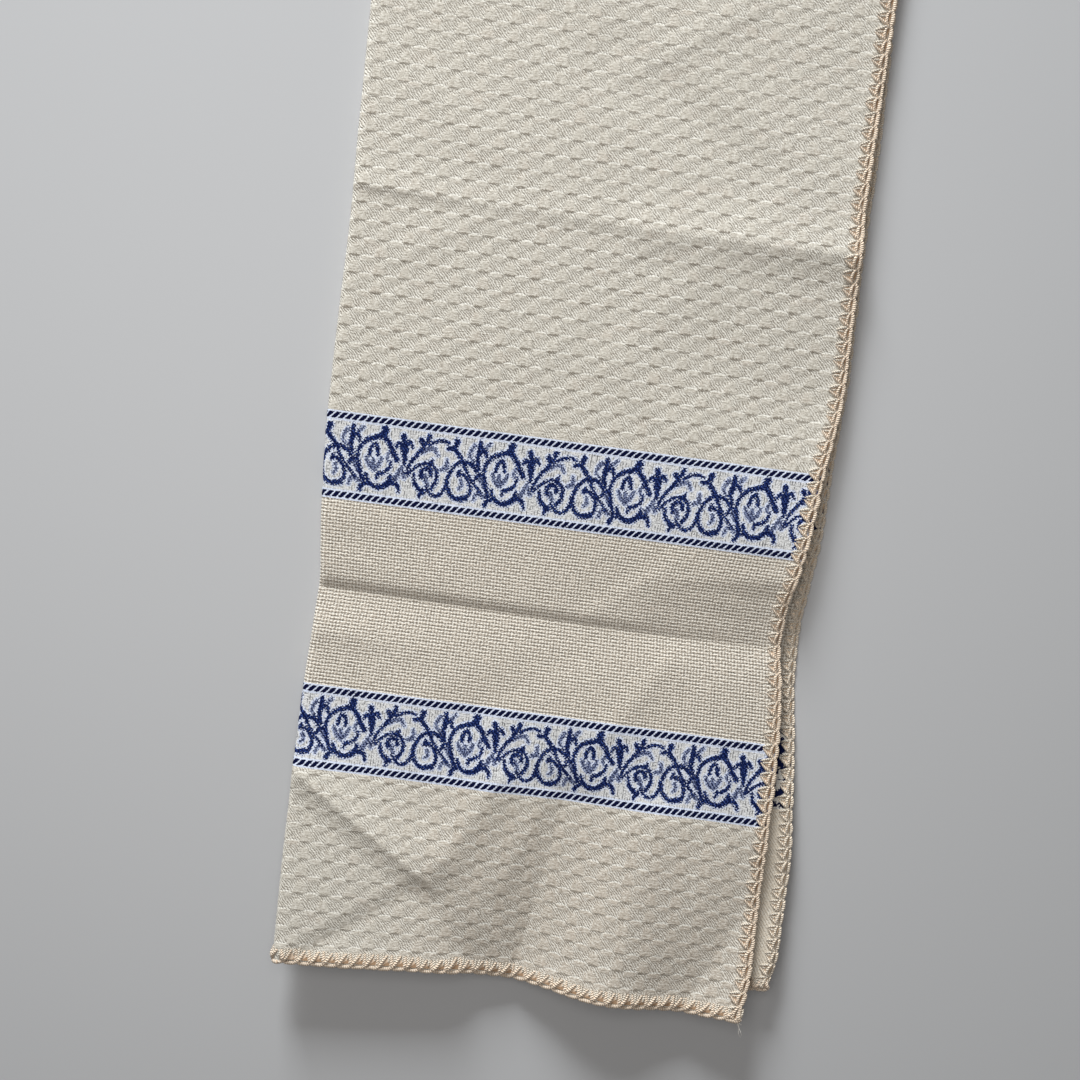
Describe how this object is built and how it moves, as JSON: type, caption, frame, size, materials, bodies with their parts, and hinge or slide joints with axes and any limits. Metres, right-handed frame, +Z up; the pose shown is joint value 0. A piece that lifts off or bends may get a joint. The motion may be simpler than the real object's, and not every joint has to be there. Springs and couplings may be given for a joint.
{
  "type": "tea towel",
  "caption": "Woven cotton tea towel folded lengthwise and laid flat, with patterned bands across one end and a crochet-like yarn edging.",
  "frame": {"origin": "middle of the underside of the bounding box, on the surface the towel lies on", "axes": "+Y along the towel from the hem with the bands to the far hem, +X from the folded edge to the two free edges, +Z up"},
  "size_m": [0.2452, 0.7102, 0.0177],
  "materials": {
    "cotton": "cream cotton, matt, in a scale weave and a plain basket weave, with white bands that carry a blue scroll and rose pattern",
    "edging_yarn": "peach-tan cotton yarn, matt with a slight sheen, in looped edge stitches"
  },
  "bodies": {
    "root": {"cloth": "cotton", "edging_near_hem": "edging_yarn", "edging_far_hem": "edging_yarn", "edging_upper_side": "edging_yarn", "edging_lower_side": "edging_yarn"}
  },
  "joints": []
}
